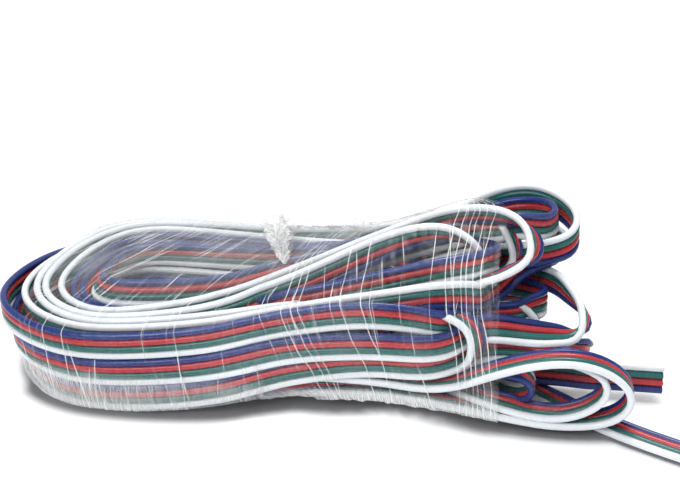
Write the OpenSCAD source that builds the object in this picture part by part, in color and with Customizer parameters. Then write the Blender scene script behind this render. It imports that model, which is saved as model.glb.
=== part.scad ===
// A hank of flat four-wire ribbon cable, wound on edge in three layers and
// wrapped in clear stretch film. The turns leave the wrap at the right as loops,
// and both cut ends of the cable show there.

/* [Ribbon cable] */
// Outside diameter of one insulated wire
wire_d = 1.7; // [1.5:0.05:1.8]
// Diameter of the copper core in each wire
core_d = 0.8; // [0.4:0.05:1.1]
// Length of the straight cable end, from the hank to its cut
lead_len = 49; // [45:1:60]
// Lean of the straight cable end away from upright, in degrees
lead_lean = 18; // [0:1:30]
// Length of the separate wires at the cut end of the tail
tail_cut_len = 8; // [4:0.5:12]

/* [Hank] */
// Distance from the left round end to the flat face that the loops leave
hank_len = 108; // [100:1:125]
// Depth of the hank at its right face, front to back
hank_depth = 56; // [54:1:64]
// How much further the middle of the hank bulges out in front
belly_front = 4.2; // [1:0.2:5]
// How much further the middle of the hank bulges out at the back
belly_back = 2; // [0:0.2:4]
// Height of the three layers at the left end
left_h = 20.9; // [18:0.1:23]
// Height of the crown at the right face, where the loops rise
right_h = 43; // [40:0.5:48]
// How far the crown falls from its ridge to the back edge
crown_fall = 6.5; // [4:0.5:10]
// Length of the round left end
round_len = 28; // [24:1:32]
// How far the left end is tucked in at the bottom
tuck = 6; // [0:0.5:9]
// Height of the tucked part of the left end
tuck_h = 12; // [8:0.5:16]
// Rise of the arch under the hank
arch_h = 6; // [3:0.5:8]
// Length of the arch
arch_len = 50; // [35:1:56]
// Length of the foot between the arch and the right face
foot_len = 8; // [4:1:14]
// Length of the eye, the gap inside the innermost turn
eye_len = 52; // [30:1:60]
// Width of the eye
eye_w = 15; // [8:0.5:18]
// Distance from the left end to the eye
eye_start = 25; // [20:0.5:32]

/* [Film] */
// Thickness of the wrapped film, all layers together
film_t = 0.4; // [0.2:0.05:0.6]
// Distance from the left end to the start of the left band
film_start = 10; // [7:0.5:20]
// Distance from the left end to the seam between the two bands
film_seam = 66; // [64:1:80]
// How far the right band reaches past the face over the loops
film_reach = 11; // [4:0.5:14]
// Width of the film that is gathered into a tie
tie_w = 6; // [3:0.5:9]
// Thickness of the gathered tie
tie_t = 2.4; // [1:0.1:3.5]
// Distance from the left end to the tie
tie_start = 57; // [45:0.5:57]
// How far the tie reaches in from the back of the hank
tie_len = 23; // [12:1:26]

/* [Hidden] */
$fn = 48;

// The cable: four wires side by side, named from one edge to the other
WIRES = [["white", "whitesmoke"], ["green", "#186e5f"], ["red", "#d7323c"], ["blue", "#233c96"]];
ribbon_w = len(WIRES) * wire_d;

// The hank's faces; its left end is at x = 0 and its middle at y = 0 before it is moved home
face = hank_len;
front = -hank_depth / 2;
back = hank_depth / 2;
base = film_t;              // the film's own thickness lies under the hank
ridge = -2;                 // the crown's highest line
ridge_lag = 0.8;            // how far the rise lags behind towards the back, for each mm
outline_steps = 12;         // points along each curved outline
slack = 1;                  // cutting tools reach this far past what they cut

// Loops past the face: name, the middle of each leg there as [y, z], and the reach.
// The places are those of the cable's own turns, chosen by hand.
LOOPS = [
    ["loop_bottom",       [front + 4.5, 17.5],             [front + 3.5, 3.4],               41],
    ["loop_bottom_inner", [front + 6.5, 14.9],             [front + 4.5, 5.6],               36],
    ["loop_bottom_small", [front + 8.5, 12.2],             [front + 8, 7.9],                 20.5],
    ["loop_low",          [front + 20.4, 12.6],            [front + 31.4, 7.2],              33],
    ["loop_front",        [front + 5.4, 27.4],             [front + 5.4, 20.2],              8],
    ["loop_middle",       [front + 12.5, 19.5],            [ridge + 16, 19.5],               32],
    ["loop_middle_small", [front + 26.5, 15.4],            [front + 26.5, 9.2],              20],
    ["loop_middle_back",  [front + 22.5, 20.6],            [ridge + 10, 18.6],               22.5],
    ["loop_side",         [ridge + 19.5, 20.3],            [ridge + 25.5, 20.8],             27],
    ["loop_tall",         [ridge + 1.5, right_h - 3.4],    [ridge - 10.5, right_h - 13],     20],
    ["loop_short",        [ridge, right_h - 7.1],          [ridge - 6, right_h - 11.9],      14],
    ["loop_top",          [ridge + 6, right_h - 14.6],     [ridge + 27, right_h - 11],       29],
    ["loop_top_inner",    [ridge + 6, right_h - 7.4],      [ridge + 23, right_h - 10],       23.5],
];

// The straight end's middle at the face, and the wires' direction across it
lead_at = [face, front + 19.5, 5.3];
lead_across = [0, sin(lead_lean), cos(lead_lean)];

// The tail's route from the face down to the surface it lies on, and along it to
// where its wires show: x from the face, y and z
TAIL = [
    [0, 4, 1.3], [10, -2, 1.4], [14, -5.2, 1.1], [18, -8.6, 0.95], [29, -17.4, 0.9],
    [39, -24, 0.9], [46, -27.5, 0.9], [53, -31, 0.9],
];
tail_steps = 3;             // rings between two points of the route
tail_bevel = 0.4;           // the tail's section is a bar with its edges taken off
tail_end = TAIL[len(TAIL) - 1] + [face, 0, 0];
tail_turn = let (way = TAIL[len(TAIL) - 1] - TAIL[len(TAIL) - 2]) atan2(way.y, way.x);
tail_reach = tail_cut_len * cos(tail_turn) - ribbon_w / 2 * sin(tail_turn);
tail_front = tail_end.y + tail_cut_len * sin(tail_turn) - ribbon_w / 2 * cos(tail_turn);

// The finished part stands with its origin under the middle of its box
home = [-(tail_end.x + tail_reach) / 2, -(tail_front + back + belly_back + film_t) / 2, 0];

// The top of the hank at its ridge: distance before the face, and the share of the rise
// from left_h to right_h that is reached there
RISE = [
    [97, 0.02], [86, 0.1], [80, 0.15], [74, 0.17], [58, 0.2], [50, 0.25], [43, 0.34],
    [34, 0.5], [26, 0.66], [18, 0.8], [10, 0.92], [4, 1],
];
// The section's top from front to back, as [y, z]
CROWN = [
    [front - belly_front, right_h - 19.5], [front + 0.5, right_h - 13.7],
    [front + 8, right_h - 8.2], [front + 14, right_h - 4.7], [front + 20, right_h - 1.7],
    [ridge - 2, right_h], [ridge + 2, right_h], [back + belly_back, right_h - crown_fall],
];
// The bulge's share along the hank, from the round end to the face
BELLY = [[0, 1], [0.3, 0.9], [0.6, 0.5], [0.85, 0.1], [1, 0]];

// Outlines of the hank, each grown outwards by g
function edge_x(share) = round_len + (hank_len - round_len) * share;

module plan(g) {
    half = (hank_depth + belly_front + belly_back) / 2 + g;
    middle = (belly_back - belly_front) / 2;
    polygon(concat(
        [[2 * hank_len, back + g]],
        [for (i = [len(BELLY) - 1:-1:1]) [edge_x(BELLY[i][0]), back + g + belly_back * BELLY[i][1]]],
        [for (i = [0:2 * outline_steps]) let (a = 90 + 90 * i / outline_steps)
            [round_len - (round_len + g) * pow(abs(cos(a)), 0.9),
             middle + half * sign(sin(a)) * pow(abs(sin(a)), 0.9)]],
        [for (i = [1:len(BELLY) - 1]) [edge_x(BELLY[i][0]), front - g - belly_front * BELLY[i][1]]],
        [[2 * hank_len, front - g]]
    ));
}

module arch(g) {
    half = arch_len / 2 - g;
    high = arch_h - g;
    radius = (half * half + high * high) / (2 * high);
    translate([hank_len - foot_len - arch_len / 2, base - g + high - radius]) circle(radius, $fn = 96);
}

function top_line(g) = [for (p = RISE)
    [hank_len - p.x, left_h + (right_h - left_h) * p.y + g]];

module side(g) {
    difference() {
        polygon(concat(
            [[tuck, base - g], [-g, tuck_h], [-g, left_h - 3 + g], [4, left_h - 0.8 + g]],
            top_line(g),
            [[2 * hank_len, right_h + g], [2 * hank_len, base - g]]
        ));
        arch(g);
    }
}

// The same top line, to be swept on a slant over the back half
module side_slant(g, turn) {
    polygon([for (p = concat(
        [[-2 * hank_len, -slack], [-2 * hank_len, left_h + g]],
        top_line(g),
        [[3 * hank_len, right_h + g], [3 * hank_len, -slack]]
    )) [p.x * cos(turn), p.y]]);
}

module section(g) {
    half = hank_depth / 2 + belly_front;
    polygon(concat(
        [[back + belly_back + g, base - g], [front - belly_front - g, base - g]],
        [for (p = CROWN) [p.x + g * p.x / half, p.y + g]]
    ));
}

// The hank's outer form, grown by g all round and cut off at len
module mound(g = 0, len = hank_len) {
    high = right_h + 4 * g + slack;
    turn = atan(ridge_lag);
    intersection() {
        linear_extrude(height = 2 * high) plan(g);
        translate([0, hank_depth, 0]) rotate([90, 0, 0])
            linear_extrude(height = 2 * hank_depth) side(g);
        translate([0, ridge - 4, 0]) rotate([0, 0, -turn]) translate([0, 2 * hank_depth, 0])
            rotate([90, 0, 0]) linear_extrude(height = 4 * hank_depth) side_slant(g, turn);
        translate([-2 * slack, 0, 0]) rotate([90, 0, 90])
            linear_extrude(height = len + 2 * slack) section(g);
    }
}

module eye() {
    translate([eye_start + eye_w / 2, 0, -slack]) linear_extrude(height = right_h + 2 * slack) {
        circle(d = eye_w);
        translate([0, -eye_w / 2]) square([eye_len - eye_w, eye_w]);
        translate([eye_len - eye_w, 0]) circle(d = eye_w);
    }
}

// A slice of the hank's space from one x to another
module slice(from, to) {
    translate([from, -hank_depth, -slack]) cube([to - from, 2 * hank_depth, 2 * right_h]);
}

module hank() {
    color("whitesmoke") difference() {
        mound();
        eye();
    }
}

module film_band(from, to) {
    color([0.9, 0.93, 0.95, 0.35]) intersection() {
        difference() {
            mound(film_t, to);
            mound(0, to + slack);
        }
        slice(from, to);
    }
}

module film_left() film_band(film_start, film_seam);

module film_right() film_band(film_seam, face + film_reach);

module film_tie() {
    color([0.93, 0.95, 0.96, 0.6]) intersection() {
        difference() {
            mound(film_t + tie_t);
            mound(film_t, hank_len + slack);
        }
        translate([tie_start, back - tie_len, left_h]) cube([tie_w, tie_len, right_h]);
    }
}

// A turn of cable past the face: two straight legs and the half ring that joins them
module loop(row) {
    across = row[2] - row[1];
    radius = norm(across) / 2;
    straight = row[3] - radius - wire_d / 2;
    middle = (row[1] + row[2]) / 2;
    color("whitesmoke")
        translate([face, middle.x, middle.y]) rotate([atan2(across.y, across.x), 0, 0])
            linear_extrude(height = ribbon_w, center = true) difference() {
                loop_outline(radius + wire_d / 2, straight);
                loop_outline(radius - wire_d / 2, straight);
                translate([-2 * radius, -2 * radius]) square([2 * radius, 4 * radius]);
            }
}

module loop_outline(radius, straight) {
    translate([-slack, -radius]) square([straight + slack, 2 * radius]);
    translate([straight, 0]) circle(radius);
}

// Place of wire i across the ribbon
function offset_of(i) = ((len(WIRES) - 1) / 2 - i) * wire_d;

module wire(i, length) {
    color(WIRES[i][1]) rotate([0, 90, 0]) difference() {
        cylinder(d = wire_d, h = length);
        translate([0, 0, -slack]) cylinder(d = core_d, h = length + 2 * slack);
    }
}

module core(length) {
    color("#c87941") rotate([0, 90, 0]) cylinder(d = core_d, h = length);
}

module at_lead(i) translate(lead_at + offset_of(i) * lead_across) children();

module at_tail(i) translate(tail_end) rotate([0, 0, tail_turn])
    translate([0, -offset_of(i), 0]) children();

// Catmull-Rom curve through the tail's route
function curve(a, b, c, d, t) = 0.5 * (2 * b + (c - a) * t
    + (2 * a - 5 * b + 4 * c - d) * t * t + (3 * b - a - 3 * c + d) * t * t * t);
function tail_point(i) = TAIL[max(0, min(len(TAIL) - 1, i))];
tail_path = [
    for (i = [0:len(TAIL) - 2], s = [0:tail_steps - 1])
        curve(tail_point(i - 1), tail_point(i), tail_point(i + 1), tail_point(i + 2), s / tail_steps),
    TAIL[len(TAIL) - 1],
];

// The tail's section, eight points round a flat bar, as [across, through]
tail_section = let (a = ribbon_w / 2, b = wire_d / 2, k = tail_bevel) [
    [a, b - k], [a - k, b], [k - a, b], [-a, b - k],
    [-a, k - b], [k - a, -b], [a - k, -b], [a, k - b],
];

// Heading of the tail at ring i: square to the face, then along the route
function heading(i) = let (last = len(tail_path) - 1)
    i == 0 ? 0 : i == last ? tail_turn
    : let (a = tail_path[i - 1], b = tail_path[i + 1]) atan2(b.y - a.y, b.x - a.x);

function tail_ring(i) = let (p = tail_path[i], h = heading(i))
    [for (q = tail_section) [p.x + face + q.x * sin(h), p.y - q.x * cos(h), p.z + q.y]];

module tail() {
    n = len(tail_section);
    rings = len(tail_path);
    color("whitesmoke") polyhedron(
        points = [for (i = [0:rings - 1]) each tail_ring(i)],
        faces = concat(
            [[for (j = [0:n - 1]) j]],
            [for (i = [0:rings - 2], j = [0:n - 1]) let (k = (j + 1) % n)
                [i * n + j, (i + 1) * n + j, (i + 1) * n + k, i * n + k]],
            [[for (j = [n - 1:-1:0]) (rings - 1) * n + j]]
        )
    );
}

translate(home) {
    hank();
    film_left();
    film_right();
    film_tie();
    for (row = LOOPS) loop(row);
    for (i = [0:len(WIRES) - 1]) {
        at_lead(i) wire(i, lead_len);
        at_lead(i) core(lead_len);
        at_tail(i) wire(i, tail_cut_len);
        at_tail(i) core(tail_cut_len);
    }
    tail();
}
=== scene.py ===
"""Dresses a hank of flat four-wire ribbon cable: its wires at their real length, the clear
stretch film wrapped round it, and a plain studio. Lengths are in metres, apart from the
places along the cable and on the film, which are given in millimetres."""

import functools
import math

import bpy
import numpy as np
from bpy.props import (FloatProperty, FloatVectorProperty, IntProperty, PointerProperty)
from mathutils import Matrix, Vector


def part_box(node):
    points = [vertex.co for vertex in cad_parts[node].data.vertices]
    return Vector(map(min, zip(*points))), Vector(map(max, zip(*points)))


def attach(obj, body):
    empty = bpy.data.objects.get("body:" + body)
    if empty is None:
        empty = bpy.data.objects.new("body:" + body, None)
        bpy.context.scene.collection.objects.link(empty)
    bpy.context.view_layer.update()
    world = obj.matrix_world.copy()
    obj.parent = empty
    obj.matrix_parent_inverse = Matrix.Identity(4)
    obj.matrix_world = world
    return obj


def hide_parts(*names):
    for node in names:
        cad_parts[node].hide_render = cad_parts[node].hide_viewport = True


bl_info = {
    "name": "Ribbon cable hank",
    "version": (1, 0, 0),
    "blender": (4, 5, 0),
    "location": "View3D > Sidebar > Hank",
    "description": "Dresses a film-wrapped hank of flat ribbon cable round its packed model",
    "category": "Object",
}

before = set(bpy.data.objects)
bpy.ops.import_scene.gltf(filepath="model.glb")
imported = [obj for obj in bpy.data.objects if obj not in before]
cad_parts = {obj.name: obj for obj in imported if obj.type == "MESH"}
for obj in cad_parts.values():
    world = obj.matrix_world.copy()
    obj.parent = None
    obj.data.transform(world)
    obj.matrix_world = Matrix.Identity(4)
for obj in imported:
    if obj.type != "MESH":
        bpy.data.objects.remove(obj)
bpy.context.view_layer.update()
MM = 0.001
WIRES = ("white", "green", "red", "blue")
LOOPS = [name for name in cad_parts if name.startswith("loop_")]

# Route millimetres: the hank's rounded left end, its right face and its back. y = 0 is a
# little in front of its middle and z = 0 is the floor. SLEEVE_X is the film's open end
LEFT_X, FACE_X, BACK_Y = -80, 28, 27
SLEEVE_X = 39
HANK_LOW, HANK_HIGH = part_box("hank")
HOME = np.array([HANK_LOW.x - LEFT_X * MM, HANK_HIGH.y - BACK_Y * MM, 0])

# Each wire's place across the ribbon and the step along it, in wire diameters
WIRE_PLACES = np.array([1.5, 0.5, -0.5, -1.5])
RIBBON_STEP = 0.88

# How the turns settle: how far apart wires are kept and how low they may lie, in wire
# diameters, the shares of a push that move and turn the ribbon, how much each round evens
# it out and how much it keeps, and the number of rounds
APART, LOWEST = 1.03, 0.62
MOVE, TURN, EVEN, KEEP = 0.4, 0.9, 0.25, 0.98
ROUNDS = 90

# ---------------------------------------------------------------- the cable's route

# Left-hand half of each turn, from the floor up and from the outside in: how far left it
# bends, its front run's y and z, its back run's y and z, which edge is up (1 white, -1 blue)
# and how far the upper edge leans out, in degrees
LEFT_BENDS = [
    (-75.0, -34.0, 3.6, 22.0, 3.6, -1, 14),
    (-70.0, -30.0, 3.6, 18.0, 3.6, 1, 10),
    (-64.0, -24.0, 3.6, 13.5, 3.6, -1, 10),
    (-58.5, -17.0, 10.3, 7.0, 10.3, -1, 10),
    (-62.5, -20.5, 10.3, 10.5, 10.3, 1, 10),
    (-67.0, -24.5, 10.3, 14.0, 10.3, -1, 10),
    (-72.5, -29.0, 10.3, 18.0, 10.3, 1, 10),
    (-78.5, -34.4, 10.3, 22.0, 10.3, -1, 12),
    (-80.0, -34.4, 17.2, 24.3, 12.6, -1, 8),
    (-74.9, -30.6, 17.2, 20.6, 15.2, 1, 5),
    (-71.9, -28.2, 17.4, 24.2, 17.6, 1, 5),
    (-69.9, -26.2, 17.6, 22.0, 17.9, 1, 5),
    (-66.0, -23.6, 17.6, 18.8, 17.8, 1, 8),
    (-62.9, -20.6, 15.8, 15.5, 17.4, -1, 20),
    (-60.5, -18.4, 15.4, 12.3, 17.0, -1, 30),
    (-57.5, -17.0, 21.2, 8.5, 18.4, -1, -35),
    (-57.5, -17.0, 3.6, 8.0, 4.0, 1, 10),
]
# The middle of the bends, and the angles of the points on each
BEND_X, BEND_Y = -50, -9
BEND_DEGREES = (95, 120, 145, 168, 190, 212, 235, 262)

# Film gathered across the top, and crumpled along the top's back edge: x, y, z and size
GATHER = [
    (-11.2, -13, 30, 0.3), (-12, -9, 29.6, 0.9), (-13.4, -3.5, 28.6, 1.2),
    (-14.8, 1, 27.4, 1.5), (-16.2, 8, 25.9, 1.9), (-18, 15, 24.7, 2.2), (-19.6, 21, 23.8, 2.2),
    (-20.6, 25, 21.2, 1.6),
    (-21, 26.4, 17, 0.5),
]
FRINGE = [
    (-19, 22.5, 23.4, 1.2), (-14, 22.6, 24, 1.7), (-9, 22, 24.2, 1.8), (-3, 21, 24.6, 1.7),
    (1, 19.4, 25.2, 1.6), (5, 14, 27.4, 1.4), (13, 8, 32.2, 1.1), (21, 4, 36.8, 0.7),
    (26, 0.6, 40.2, 0.2),
]

# Right-hand half of each turn: along the front, out past the face as a loop and back along
# the far side. Each point is x, y, z and the ribbon's roll in degrees: 0 has the white edge
# up, 90 has it towards the front and 180 has the blue edge up. A fifth number swings the
# white edge to the left
RIGHT_TURNS = [
    # Bottom layer to the white loop inside the large one
    [(-26, -33, 6.4, 180), (-8, -31, 12, 180), (10, -29.4, 15, 180), (24, -29, 15, 180),
     (28, -27, 15.4, 175), (32, -23, 15.6, 160), (37, -19.5, 15.6, 135), (45, -19, 15, 110),
     (52, -20.5, 16, 98), (60, -24, 15.6, 92), (63.8, -26.5, 13.7, 90), (63.4, -27, 10.8, 90),
     (59.3, -27.5, 7.1, 90), (52.5, -27.5, 4.4, 90), (45, -27.3, 4.9, 90), (38, -26, 5.8, 90),
     (28, -20, 5, 88), (12, -8, 3.6, 60), (-10, 10, 3.6, 20)],
    # Large low loop in front
    [(-26, -29, 5, 0), (-8, -28, 7, 20), (12, -26.5, 8.6, 60), (24, -27, 9.3, 88),
     (30, -27.5, 11.1, 92), (38, -27.5, 14.7, 92), (47, -27.5, 18, 90), (56, -27.5, 19.2, 90),
     (64.4, -27.5, 16.7, 90), (69, -27.5, 11.2, 89), (67.4, -27.5, 6.8, 88), (63, -27.5, 4.1, 88),
     (53, -27.5, 2.6, 88), (43, -27.5, 3.6, 90), (33, -27, 5, 90), (26, -26.5, 5.6, 90),
     (14, -25.6, 6.2, 90), (0, -24, 5.4, 90), (-16, -15, 3.4, 90), (-30, 2, 2.4, 90)],
    # Small low loop
    [(-26, -24, 4.5, 180), (-8, -21.5, 6, 185), (12, -19.5, 8, 230), (28, -20, 10.5, 262),
     (36, -22.5, 12, 268), (42, -23.5, 12.6, 270), (46, -23.5, 12, 270), (47.8, -23.5, 9.3, 270),
     (47.4, -23.5, 6.6, 270), (44.5, -22.5, 5.4, 270), (36, -19, 5.2, 268), (28, -13, 5.6, 262),
     (10, -2, 6.2, 210), (-12, 6, 8, 190)],
    # Small middle loop
    [(-26, -16, 11, 180), (-8, -14, 12.5, 190), (12, -9, 15, 215), (28, -5, 17.4, 240),
     (38, -4, 17.8, 258), (43, -4, 17.6, 268), (46.2, -4.5, 15.4, 270), (45, -4.5, 12.9, 272),
     (39, -2.5, 11, 280), (28, 1, 10.5, 290), (12, 4, 10, 330), (-10, 9, 10.3, 360)],
    # Next to it, the white edge near
    [(-26, -19, 11.2, 0), (-8, -17, 12.8, 0), (12, -13, 15, 40), (28, -9.5, 18.4, 72),
     (38, -7, 19.6, 84), (45, -5.5, 19.4, 88), (48.8, -5.5, 15.6, 90), (46.6, -5, 12, 92),
     (38, 0, 8.4, 100), (28, 5, 7.6, 120), (12, 9, 9.4, 160), (-10, 12.4, 10.3, 180)],
    # Upright loop under the top ones
    [(-26, -22, 11.5, 180), (-8, -20, 14, 180), (12, -17, 17.4, 180), (28, -14, 19.5, 180),
     (40, -8, 18.6, 180), (46, -5, 18.2, 180), (49.4, -1.6, 18, 180), (48.4, 2.4, 17.8, 180),
     (40, 5.5, 17.6, 180), (28, 9, 17, 180), (12, 13.5, 14, 100), (-10, 16, 10.5, 10)],
    # Short turn round the front layers
    [(-26, -27.5, 12.5, 0), (-8, -27, 17, 0), (12, -26, 22.5, 20), (28, -24.6, 27.4, 75),
     (32.4, -25.6, 25.4, 82, 15), (34.2, -25.6, 20.5, 90, 25), (33.8, -25, 16, 95, 25),
     (32, -23, 12.6, 98, 20), (28, -20, 10.6, 100), (18, -14, 10.8, 120), (6, 0, 9.6, 160),
     (-10, 18, 10, 180)],
    # Second layer to the middle loop
    [(-26, -33.4, 13.2, 180), (-8, -32, 18.4, 180), (10, -31, 20.5, 180),
     (24, -30.4, 20.6, 180), (28.5, -28, 20.6, 172), (31.5, -23.6, 21.2, 164),
     (36, -21.2, 21.6, 150), (42, -19.5, 20.2, 128), (52, -15.4, 16.9, 110, 15),
     (56.8, -13.6, 16.4, 92, 24), (58.7, -12, 18.4, 70, 24), (58.6, -9.6, 20.5, 40, 20),
     (54.6, -3, 21.4, 15), (51.4, 3.4, 21.3, 5), (46, 7.5, 20.5, 0), (38, 10.5, 20, 0),
     (28, 13, 19, 0), (12, 18, 16, 60), (-10, 24, 13.4, 160)],
    # Top layer to the low run behind the large loop
    [(-26, -33.2, 20.2, 180), (-8, -31.2, 24.8, 180), (8, -30, 27.6, 180), (20, -29, 27, 180),
     (28, -26.6, 24.6, 178), (32, -21.4, 22.4, 165), (37, -16.6, 19, 135), (46, -14, 15, 112),
     (53, -13, 12.6, 98), (58.6, -11, 10.4, 92), (60.4, -7, 8, 90), (57, -3.5, 6, 92),
     (48, -0.6, 6, 95), (38, 3, 6, 100), (28, 8, 6, 110), (12, 14, 8, 60),
     (-10, 20, 13.2, 0)],
    # Loop under the top one, the blue edge near
    [(-26, -29.6, 20.2, 0), (-8, -28, 24.4, 0), (12, -26.4, 28.4, 0), (26, -24.4, 30.8, 0),
     (32, -20.5, 29, -10), (35, -13, 26.4, -40), (37.5, -5, 24.6, -80), (42, 2, 24.6, -90),
     (47, 6.2, 24.8, -88), (51.6, 7.6, 25.8, -82), (54, 9, 28.4, -76), (51.8, 11, 31, -70),
     (46, 13.2, 30.6, -60), (36, 15, 25, -120), (28, 16.6, 20, -160), (12, 21, 16.6, -180),
     (-4, 24, 16.2, -225), (-15, 24.4, 16.4, -280), (-28, 24.8, 17.2, -335)],
    # Top outer loop, upright
    [(-26, -26.4, 20.2, 0), (-8, -22.6, 23, 0), (12, -12, 25.4, 0), (28, -3, 27.6, 0),
     (42, 1, 28.4, 0), (50, 3.4, 29.2, 4), (55, 7, 30.2, 5), (56, 12, 32, 0),
     (53.4, 17, 33.4, -4), (46, 21, 35.2, -8), (37.5, 22, 33.2, -8), (26, 23.4, 25.4, -4),
     (12, 23.4, 20.8, 0), (-10, 21.6, 19, 0)],
    # Arch inside the film
    [(-26, -23.6, 21, 0), (-8, -19.4, 27.5, 0), (12, -13, 36, 0), (21, -10.3, 38.6, 18),
     (27, -9.5, 38.8, 40), (32, -9.5, 36.6, 62), (34.5, -9, 33.5, 78), (32.5, -7.5, 30, 88),
     (27, -5, 27.6, 96), (14, 6, 24, 60), (-10, 17.5, 18, 0)],
    # Tall loop, the white edge near
    [(-26, -20, 21.6, 0), (-8, -13.8, 27, 0), (12, -8, 35, 8), (26, -3.4, 39.8, 30),
     (35.4, -1.6, 40.3, 36), (41.1, -2.5, 39.8, 40, 17), (45.2, -4.5, 38, 50, 34),
     (46.4, -7.2, 35.7, 64, 38), (44.7, -10.8, 34, 82, 28), (40.7, -13.5, 32.8, 90, 10),
     (35.6, -15.5, 30.4, 92), (28, -14, 28, 104), (14, -2, 25, 150), (-10, 13.8, 18.3, 180)],
    # Upright turn behind the tall loop
    [(-26, -20, 18.8, 180), (-8, -22, 24.6, 180), (10, -21, 30, 180),
     (26, -18.6, 33.8, 180), (33.5, -15.8, 34, 180), (37.6, -11, 32.8, 180),
     (37, -5, 31, 180), (32, -1, 30, 180), (26, 3, 28.6, 180), (14, 8.6, 25.4, 180),
     (-12, 12.2, 18.2, 180)],
    # Blue-topped loop inside the top one
    [(-26, -15.6, 17.6, 180), (-8, -9, 23.4, 180), (12, -4.6, 30, 180), (28, -1, 34.4, 180),
     (38, 1, 35.6, 180), (43.6, 2, 35.8, 180), (47.4, 4.4, 34.2, 180), (50.6, 9, 33.4, 180),
     (50.6, 13.4, 33.2, 180), (47.6, 17.4, 32.8, 180), (40, 19.4, 31.8, 180),
     (28, 18.8, 26.4, 180), (12, 15.8, 22, 180), (-12, 10, 19.2, 180)],
    # Short loop, the white edge near
    [(-26, -14, 22.4, 155), (-8, -8, 25.4, 124), (12, 2, 29, 106), (24, 4.5, 34, 98),
     (30, 5, 37.4, 86), (35.5, 5.2, 37.2, 78), (39.6, 2, 35.2, 76, 15), (42, -2, 31.8, 84, 25),
     (41.4, -4, 28.8, 90, 20), (36, -5, 27, 94), (28, -4, 26, 90), (14, 4, 20, 60),
     (-10, 6.5, 9.4, 20)],
]
# The two ends: the tail runs in from the right along the floor, the straight end runs out
TAIL = [
    (88, -37, 0.9, 90), (78, -32.6, 0.9, 90), (67, -27, 0.9, 90), (57, -20.4, 0.9, 90),
    (46, -12, 0.9, 88), (38, -5, 1, 88), (28, 1, 1.2, 94), (6, 8, 2.4, 125),
    (-18, 15, 3.4, 165),
]
STRAIGHT_END = [
    (-20, -15, 3.7, 0), (0, -13.5, 4.2, -10), (14, -12, 4.8, -16), (28, -11.5, 5.3, -18),
    (52, -11.5, 5.3, -18), (77, -11.5, 5.3, -18),
]


def left_bend(reach_x, front_y, front_z, back_y, back_z, upper, lean):
    """Points and edge directions of one turn round the hank's left end."""
    rows = []
    for degrees in BEND_DEGREES:
        c, s = math.cos(math.radians(degrees)), math.sin(math.radians(degrees))
        y = BEND_Y + ((back_y - BEND_Y) if s > 0 else (BEND_Y - front_y)) * s
        share = (1 + s) / 2
        tilt = math.radians(lean) * max(0, 1 - 0.6 * abs(s) ** 3)
        rows.append((BEND_X + (BEND_X - reach_x) * c, y,
                     back_z * share + front_z * (1 - share),
                     upper * math.sin(tilt) * c, upper * math.sin(tilt) * s,
                     upper * math.cos(tilt)))
    return rows


def rolled(points):
    """Points with a roll and a swing in degrees, as points and edge directions."""
    rows = []
    for x, y, z, roll, *swing in points:
        roll, swing = math.radians(roll), math.radians(sum(swing))
        rows.append((x, y, z, -math.sin(swing), -math.sin(roll) * math.cos(swing),
                     math.cos(roll) * math.cos(swing)))
    return rows


def through(points, steps=14):
    """A centripetal Catmull-Rom curve through rows of points and edge directions."""
    points = np.vstack([2 * points[0] - points[1], points, 2 * points[-1] - points[-2]])
    gaps = np.sqrt(np.linalg.norm(np.diff(points[:, :3], axis=0), axis=1))
    rows = []
    for i in range(1, len(points) - 2):
        a, b, c, d = points[i - 1:i + 3]
        t0, t1, t2, t3 = np.cumsum([0, *gaps[i - 1:i + 2]])
        t = np.linspace(t1, t2, steps, endpoint=False)[:, None]
        ab = ((t1 - t) * a + (t - t0) * b) / (t1 - t0)
        bc = ((t2 - t) * b + (t - t1) * c) / (t2 - t1)
        cd = ((t3 - t) * c + (t - t2) * d) / (t3 - t2)
        abc = ((t2 - t) * ab + (t - t0) * bc) / (t2 - t0)
        bcd = ((t3 - t) * bc + (t - t1) * cd) / (t3 - t1)
        rows.append(((t2 - t) * abc + (t - t1) * bcd) / (t2 - t1))
    return np.vstack([*rows, points[-2][None]])


def evenly(rows, step):
    """Rows resampled at an even step along the first three columns."""
    s = np.concatenate([[0], np.cumsum(np.linalg.norm(np.diff(rows[:, :3], axis=0), axis=1))])
    t = np.linspace(0, s[-1], int(round(s[-1] / step)) + 1)
    return np.stack([np.interp(t, s, column) for column in rows.T], 1)


def soften(rows, reach):
    """Rows smoothed along their length by a bell curve, the ends kept in place."""
    half = int(3 * reach) + 1
    bell = np.exp(-0.5 * (np.arange(-half, half + 1) / reach) ** 2)
    before = 2 * rows[0] - rows[half:0:-1]
    after = 2 * rows[-1] - rows[-2:-half - 2:-1]
    padded = np.vstack([before, rows, after])
    return np.stack([np.convolve(column, bell / bell.sum(), "valid")
                     for column in padded.T], 1)


def across(path, edge):
    """Edge directions made square to the path."""
    along = np.gradient(path, axis=0)
    along /= np.linalg.norm(along, axis=1, keepdims=True)
    edge = edge - (edge * along).sum(1, keepdims=True) * along
    return edge / np.linalg.norm(edge, axis=1, keepdims=True)


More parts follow.
